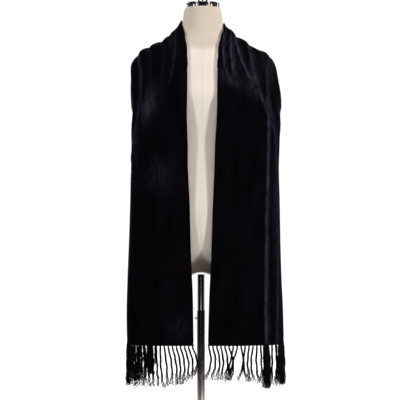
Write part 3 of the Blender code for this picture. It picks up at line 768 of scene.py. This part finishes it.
right_length, left_length = inner_edge_marks(RIGHT)[-1], inner_edge_marks(LEFT)[-1]
right_marks = row_marks(right_length)
left_marks = row_marks(left_length)[1:][::-1]
acrosses = np.linspace(0.0, scarf_width, steps_across + 1)
marks = [(LEFT, along) for along in left_marks] + [(RIGHT, along) for along in right_marks]
cloth = np.concatenate((scarf_ribs(LEFT, left_marks, acrosses),
                        scarf_ribs(RIGHT, right_marks, acrosses)))
plain_out = outward(cloth)
# Painted sheen for each point of the cloth, from the folds and the patches.
painted_sheen_grid = np.zeros(cloth.shape[:2])
for row, (side, along) in enumerate(marks):
    rise, painted_sheen_grid[row] = fold_rise(side, along, acrosses)
    cloth[row] += plain_out[row] * rise[:, None]
clear = turned_edge / 2 + scarf_on_form
for row in range(cloth.shape[0]):
    for cell in range(cloth.shape[1]):
        spot = Vector(cloth[row, cell])
        foot, out, _, _ = form_tree.find_nearest(spot)
        if (spot - foot).dot(out) < clear:
            cloth[row, cell] = foot + out * clear
cloth_out = outward(cloth)

from_edge = np.minimum(acrosses, scarf_width - acrosses)
edge_share = 1.0 - eased((from_edge - turned_width * 0.6) / (turned_width * 0.8))
half_wall = (scarf_wall + (turned_edge - scarf_wall) * edge_share) / 2
rows, cells = cloth.shape[:2]
face_side = cloth + cloth_out * half_wall[None, :, None]
back_side = cloth - cloth_out * half_wall[None, :, None]
scarf_points = [*face_side.reshape(-1, 3), *back_side.reshape(-1, 3)]
signed_along = np.array([side * along for side, along in marks])
scarf_places = [(along, across) for along in signed_along for across in acrosses] * 2
back_start = rows * cells
scarf_faces, scarf_finish = [], []
for row in range(rows - 1):
    for cell in range(cells - 1):
        here = row * cells + cell
        quad = (here, here + cells, here + cells + 1, here + 1)
        scarf_faces.append(quad)
        scarf_faces.append(tuple(corner + back_start for corner in reversed(quad)))
        scarf_finish += [0, 1]
rim = [(0, cell) for cell in range(cells)] + [(row, cells - 1) for row in range(1, rows)]
rim += [(rows - 1, cell) for cell in range(cells - 2, -1, -1)]
rim += [(row, 0) for row in range(rows - 2, 0, -1)]
round_start, rim_roundness = len(scarf_points), 0.9
for row, cell in rim:
    inward = cloth[min(max(row, 1), rows - 2), min(max(cell, 1), cells - 2)] - cloth[row, cell]
    inward -= cloth_out[row, cell] * np.dot(inward, cloth_out[row, cell])
    inward /= np.linalg.norm(inward)
    scarf_points.append(cloth[row, cell] - inward * half_wall[cell] * rim_roundness)
    scarf_places.append((signed_along[row], acrosses[cell]))
for step, (row, cell) in enumerate(rim):
    next_row, next_cell = rim[(step + 1) % len(rim)]
    here, after = row * cells + cell, next_row * cells + next_cell
    middle_here, middle_after = round_start + step, round_start + (step + 1) % len(rim)
    scarf_faces.append((here, after, middle_after, middle_here))
    scarf_faces.append((middle_here, middle_after, after + back_start, here + back_start))
    scarf_finish += [0, 0]

velvet = Finish("black_velvet", (0.0042, 0.0034, 0.0058), 0.85, sheen_weight=0.06,
                sheen_roughness=0.26, sheen_tint=(0.78, 0.72, 1.0, 1.0), specular_ior_level=0.0)
cloth_place = velvet.add("ShaderNodeUVMap", {"uv_map": "cut"}, {})
pile_run = velvet.add("ShaderNodeMapping", {}, {"Vector": cloth_place, "Scale": (0.35, 1.0, 1.0)})
crushed = velvet.noise(0.045, detail=3.0, at=pile_run)
brushed = velvet.noise(0.009, detail=4.0, roughness=0.6, at=pile_run)
pile = velvet.noise(0.0009, detail=2.0, at=cloth_place)
stroked = (2.4 * (crushed * 0.7 + brushed * 0.3) - 0.75).kept(0.0, 1.0)
# Painted highlight: the velvet's colour is lightened to violet along fold crests and in patches,
# from the per-point painted sheen, broken up by the brushed noise.
crest = velvet.add("ShaderNodeAttribute", {"attribute_name": "painted_fold_sheen"}, {}, "Fac")
crest = (crest * (3.6 * brushed - 0.95)).kept(0.0, 1.0)
flat_pile = velvet.blend(stroked, (0.0008, 0.0007, 0.0009), (0.0036, 0.0030, 0.0045))
velvet.set("Base Color", velvet.blend(crest, flat_pile, (0.029, 0.025, 0.040)))
velvet.set("Roughness", 0.72 + 0.22 * stroked)
velvet.relief(0.10 * pile + 0.30 * brushed + 1.0 * crushed, 0.0008)
velvet_back = Finish("velvet_ground", (0.0040, 0.0035, 0.0050), 0.75, specular_ior_level=0.08)
ground_place = velvet_back.add("ShaderNodeUVMap", {"uv_map": "cut"}, {})
ground_weave = velvet_back.add("ShaderNodeTexWave", {"wave_type": "BANDS", "bands_direction": "X"},
                               {"Vector": ground_place, "Scale": 700.0, "Distortion": 0.6}, "Fac")
velvet_back.set("Base Color", velvet_back.blend(velvet_back.noise(0.03, at=ground_place),
                                                (0.003, 0.0026, 0.0036), (0.006, 0.0052, 0.0072)))
velvet_back.relief(ground_weave + velvet_back.noise(0.0012, at=ground_place), 0.0001)

scarf = new_piece("velvet_scarf", scarf_points, scarf_faces, [velvet, velvet_back], 75,
                  scarf_finish)
cut_map = scarf.data.uv_layers.new(name="cut")
# The per-point painted sheen is stored on the scarf for its velvet's colour.
painted_sheen_layer = scarf.data.attributes.new("painted_fold_sheen", "FLOAT", "POINT")
rim_painted_sheen = [painted_sheen_grid[row, cell] for row, cell in rim]
painted_sheen_layer.data.foreach_set("value",
                             np.concatenate((painted_sheen_grid.ravel(), painted_sheen_grid.ravel(), rim_painted_sheen)))
corner_points = np.zeros(len(scarf.data.loops), int)
scarf.data.loops.foreach_get("vertex_index", corner_points)
cut_map.data.foreach_set("uv", np.array(scarf_places, float)[corner_points].ravel())
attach(scarf, "form")
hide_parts("scarf_left_end", "scarf_neck_stretch", "scarf_right_end")


# Knotted fringe
# Bunches of loosely twisted yarn drawn through each hem, knotted close below it and left to
# hang. The yarns are crinkled from the twist, their cut tips have frayed apart, and some
# strands near the outer edges have tangled into clumps.

strand_pitch = 0.0111
yarns_a_strand, loose_a_strand = 5, 3
yarn_radius, loose_radius = 0.00138, 0.00036
yarn_sides, yarn_steps = 5, 50
knot_drop = 0.0062
knot_half, knot_bands, knot_sides, knot_open = (0.0027, 0.0026, 0.0032), 5, 8, 0.08
leg_spread, root_rise, hem_inset = 0.0034, 0.0022, 0.0015
strand_turns, bead_length, bead_share = 6.0, 0.0060, 0.38
strand_radius, loose_spread, strand_ripple, strand_fore = 0.0016, 0.0022, 0.0007, 0.003
frayed_from, fray_spread, fray_curl, fray_thins = 0.56, 0.0038, 0.0019, 0.28
outer_bow, outer_swing, outer_length = 0.001, 0.003, 0.113
Sway = namedtuple("Sway", "bow swing length")
left_sways = (
    Sway(0.0110, 0.003, 0.082), Sway(0.0100, 0.004, 0.093), Sway(0.0100, 0.003, 0.098),
    Sway(0.0095, 0.004, 0.104), Sway(0.0085, 0.006, 0.106), Sway(0.0080, 0.009, 0.109),
    Sway(0.0065, 0.008, 0.109), Sway(0.0040, 0.007, 0.112), Sway(-0.001, 0.008, 0.113),
    Sway(0.0005, 0.005, 0.113), Sway(0.0015, 0.001, 0.112), Sway(-0.001, 0.002, 0.114),
)
right_sways = (
    Sway(0.0085, -0.012, 0.094), Sway(0.0085, -0.006, 0.092), Sway(0.0085, -0.004, 0.094),
    Sway(0.0075, -0.004, 0.094), Sway(0.0085, -0.005, 0.096), Sway(0.0110, 0.002, 0.094),
    Sway(-0.004, -0.016, 0.096), Sway(-0.006, -0.022, 0.094), Sway(0.0080, -0.010, 0.096),
    Sway(-0.006, 0.006, 0.098), Sway(-0.005, 0.003, 0.098), Sway(-0.006, 0.003, 0.100),
    Sway(-0.003, 0.006, 0.104), Sway(0.0010, 0.003, 0.106),
)
Bunch = namedtuple("Bunch", "side first last strands swing length")
bunches = (
    Bunch(LEFT, 9.3, 9.5, 1, -0.001, 0.050), Bunch(LEFT, 10.1, 11.3, 5, 0.0005, 0.082),
    Bunch(LEFT, 12.4, 12.6, 1, 0.001, 0.054), Bunch(LEFT, 13.5, 15.4, 4, 0.001, 0.090),
    Bunch(RIGHT, 13.7, 15.0, 5, 0.002, 0.113), Bunch(RIGHT, 18.0, 19.6, 4, -0.001, 0.086),
)


def wander(number, salt):
    """A steady value between -1 and 1 for each strand or yarn, in place of chance."""
    value = math.sin(number * 12.9898 + salt * 78.233) * 43758.5453
    return 2.0 * (value - math.floor(value)) - 1.0


def add_yarn(points, faces, path, radii):
    """A thin yarn along a nearly upright path, closed at both ends."""
    first = len(points)
    for place, radius in zip(path, radii):
        for corner in range(yarn_sides):
            turn = 2.0 * math.pi * corner / yarn_sides
            points.append((place[0] + radius * math.cos(turn), place[1] - radius * math.sin(turn),
                           place[2]))
    faces += band_faces(len(path), yarn_sides, first) + end_faces(len(path), yarn_sides, first)


def add_knot(points, faces, place):
    first = len(points)
    for band in range(knot_bands + 1):
        rise = math.pi * (knot_open + (1.0 - 2.0 * knot_open) * band / knot_bands)
        for side in range(knot_sides):
            turn = 2.0 * math.pi * side / knot_sides
            points.append((place[0] + knot_half[0] * math.sin(rise) * math.cos(turn),
                           place[1] - knot_half[1] * math.sin(rise) * math.sin(turn),
                           place[2] + knot_half[2] * math.cos(rise)))
    faces += band_faces(knot_bands + 1, knot_sides, first)
    faces += end_faces(knot_bands + 1, knot_sides, first)


def strand_centre(root, sway, number, drop):
    """Where the middle of a strand hangs at one drop below the hem."""
    below = max(0.0, (drop - knot_drop) / (sway.length - knot_drop))
    aside = sway.bow * math.sin(math.pi * min(1.0, below)) + sway.swing * below ** 1.6
    ripple = math.sin(17.0 * below + 3.0 * wander(number, 4)) * min(1.0, 3.0 * below)
    fore = strand_fore * wander(number, 5) * below
    return root + np.array((aside + strand_ripple * ripple, fore, -drop)), below


def add_strand(points, faces, root, along_hem, out, number, sway, loose_yarns):
    """A strand hung from the hem: two legs drawn together in a knot, and loose yarns below."""
    add_knot(points, faces, strand_centre(root, sway, number, knot_drop)[0])
    for yarn in range(yarns_a_strand + loose_yarns):
        loose = yarn >= yarns_a_strand
        salt = number * 17 + yarn
        leg = 1.0 if yarn % 2 else -1.0
        length = sway.length * (1.0 + 0.05 * wander(salt, 3))
        path, radii = [], []
        for step in range(yarn_steps + 1):
            drop = length * step / yarn_steps
            centre, below = strand_centre(root, sway, number, drop)
            turn = 2.0 * math.pi * (yarn / yarns_a_strand + strand_turns * below)
            frayed = max(0.0, below - frayed_from) / (1.0 - frayed_from)
            spread = strand_radius + fray_spread * frayed ** 1.3 * (1.0 + 0.6 * wander(salt, 1))
            if loose:
                spread += loose_spread * math.sin(math.pi * min(1.0, 1.3 * below)) ** 2
                turn = turn * 1.7 + 3.0 * wander(salt, 6)
            if drop < knot_drop:
                gather = 1.0 - drop / knot_drop
                place = centre + along_hem * leg * leg_spread * gather ** 1.4
                place = place + np.array((0.0, 0.0, root_rise * gather))
                place = place + out * 0.0006 * wander(salt, 8)
            else:
                curl = fray_curl * frayed * math.sin(26.0 * below + 6.0 * wander(salt, 9))
                place = centre + along_hem * (spread * math.cos(turn) + curl)
                place = place + out * spread * math.sin(turn)
            path.append(place)
            crinkle = math.sin(2.0 * math.pi * drop / bead_length + 3.0 * wander(salt, 2))
            thick = yarn_radius * (1.0 + bead_share * crinkle) * (1.0 - fray_thins * frayed)
            radii.append(loose_radius if loose else thick)
        add_yarn(points, faces, path, radii)


yarn_black = Finish("fringe_yarn", (0.0015, 0.0012, 0.0018), 0.75, sheen_weight=0.008,
                    sheen_roughness=0.3, sheen_tint=(0.8, 0.75, 1.0, 1.0), specular_ior_level=0.02)
yarn_black.set("Base Color", yarn_black.blend(yarn_black.noise(0.002), (0.0006, 0.0005, 0.0007),
                                              (0.0032, 0.0027, 0.0038)))
yarn_black.relief(yarn_black.noise(0.0004), 0.00010)

FringeEnd = namedtuple("FringeEnd", "name side hem first_number sways")
fringe_ends = (FringeEnd("fringe_left", LEFT, 0, 0, left_sways),
               FringeEnd("fringe_right", RIGHT, -1, 80, right_sways))
Strand = namedtuple("Strand", "number place sway loose_yarns")
strands_an_end = round(scarf_width / strand_pitch) + 1
tangled_numbers, numbers_apart = 100, 13
for end in fringe_ends:
    strands = []
    for number in range(strands_an_end):
        sway = Sway(outer_bow + 0.004 * wander(number, 11), outer_swing * wander(number, 12),
                    outer_length * (1.0 + 0.04 * wander(number, 13)))
        if number < len(end.sways):
            sway = end.sways[number]
        strands.append(Strand(number, number, sway, loose_a_strand))
    for bunch in bunches:
        if bunch.side == end.side:
            number = tangled_numbers + numbers_apart * len(strands)
            sway = Sway(0.0015 * wander(number, 14), bunch.swing + 0.002 * wander(number, 15),
                        bunch.length * (1.0 + 0.07 * wander(number, 16)))
            strands += [Strand(number, place, sway, 0)
                        for place in np.linspace(bunch.first, bunch.last, bunch.strands)]
    fringe_points, fringe_faces = [], []
    for strand in strands:
        share = strand.place / (strands_an_end - 1)
        across = hem_inset + (scarf_width - 2.0 * hem_inset) * share
        root, out = [np.array([np.interp(across, acrosses, grid[end.hem, :, axis])
                               for axis in range(3)]) for grid in (cloth, cloth_out)]
        out[2] = 0.0
        out /= np.linalg.norm(out)
        along_hem = np.array((-out[1], out[0], 0.0))
        add_strand(fringe_points, fringe_faces, root, along_hem, out,
                   end.first_number + strand.number, strand.sway, strand.loose_yarns)
    fringe = new_piece(f"{end.name}_yarns", fringe_points, fringe_faces, [yarn_black], 80)
    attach(fringe, "form")
    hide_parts(end.name)


# Floor, light and camera
# A plain pale floor under soft studio lamps, seen level from in front, as in the photograph.

floor_radius, floor_sides = 5.5, 64
floor_ring = [(floor_radius * math.cos(2.0 * math.pi * side / floor_sides),
               floor_radius * math.sin(2.0 * math.pi * side / floor_sides), 0.0)
              for side in range(floor_sides)]
floor_paint = Finish("pale_floor", (0.86, 0.86, 0.86), 0.75, emission_strength=0.72)
floor_paint.set("Emission Color", (1.0, 1.0, 1.0, 1.0))
floor = new_piece("studio_floor", floor_ring, [tuple(range(floor_sides))], [floor_paint])
floor.visible_diffuse = False

room_light, wall_light, backdrop_light = 0.035, 0.60, 1.05
wall_from, wall_to = -0.10, 0.35
sky = bpy.data.worlds.new("studio_air")
sky.use_nodes = True
air = Nodes(sky.node_tree)
room, wall, backdrop = [air.add("ShaderNodeBackground", {},
                                {"Color": (1.0, 1.0, 1.0, 1.0), "Strength": strength})
                        for strength in (room_light, wall_light, backdrop_light)]
compass = air.add("ShaderNodeTexCoord", {}, {}, "Generated")
northward = air.add("ShaderNodeSeparateXYZ", {}, {"Vector": compass}, "Y")
wall_share = ((northward - wall_from) / (wall_to - wall_from)).kept(0.0, 1.0)
around = air.add("ShaderNodeMixShader", {}, {0: wall_share, 1: room, 2: wall})
in_view = air.add("ShaderNodeLightPath", {}, {}, "Is Camera Ray")
air.feed(sky.node_tree.nodes["World Output"].inputs["Surface"],
         air.add("ShaderNodeMixShader", {}, {0: in_view, 1: around, 2: backdrop}))
bpy.context.scene.world = sky

ceiling = bpy.data.lights.new("ceiling_light", "SUN")
ceiling.energy, ceiling.angle = 0.7, math.radians(30)
ceiling_holder = bpy.data.objects.new("ceiling_light", ceiling)
ceiling_holder.location = (0.0, 0.0, 3.0)
bpy.context.scene.collection.objects.link(ceiling_holder)
Lamp = namedtuple("Lamp", "name place width height power")
lamps = (
    Lamp("left_softbox", (-2.9, -1.85, 1.5), 0.36, 0.36, 68.0),
    Lamp("right_softbox", (2.9, -1.85, 1.5), 0.36, 0.36, 102.0),
    Lamp("high_softbox", (0.3, -2.3, 3.6), 1.2, 1.2, 42.0),
    Lamp("back_softbox", (-1.2, 3.0, 2.4), 1.2, 1.2, 75.0),
    Lamp("low_card", (1.5, -2.6, 0.12), 2.4, 0.24, 6.0),
)
aim = Vector((0.0, 0.0, 1.1))
for lamp in lamps:
    light = bpy.data.lights.new(lamp.name, "AREA")
    light.shape, light.energy = "RECTANGLE", lamp.power
    light.size, light.size_y = lamp.width, lamp.height
    holder = bpy.data.objects.new(lamp.name, light)
    holder.location = lamp.place
    holder.rotation_euler = (aim - Vector(lamp.place)).to_track_quat("-Z", "Y").to_euler()
    holder.visible_camera = False
    bpy.context.scene.collection.objects.link(holder)

picture_side, metres_a_pixel = 400, 0.00282
camera_distance, camera_height, sensor = 3.6, 0.96, 36.0
camera_data = bpy.data.cameras.new("front_camera")
camera_data.sensor_width = sensor
camera_data.lens = sensor * camera_distance / (picture_side * metres_a_pixel)
camera = bpy.data.objects.new("front_camera", camera_data)
camera.location = (-metres_a_pixel, -camera_distance, camera_height)
camera.rotation_euler = (math.pi / 2, 0.0, 0.0)
bpy.context.scene.collection.objects.link(camera)
bpy.context.scene.camera = camera
bpy.context.scene.view_settings.view_transform = "Standard"
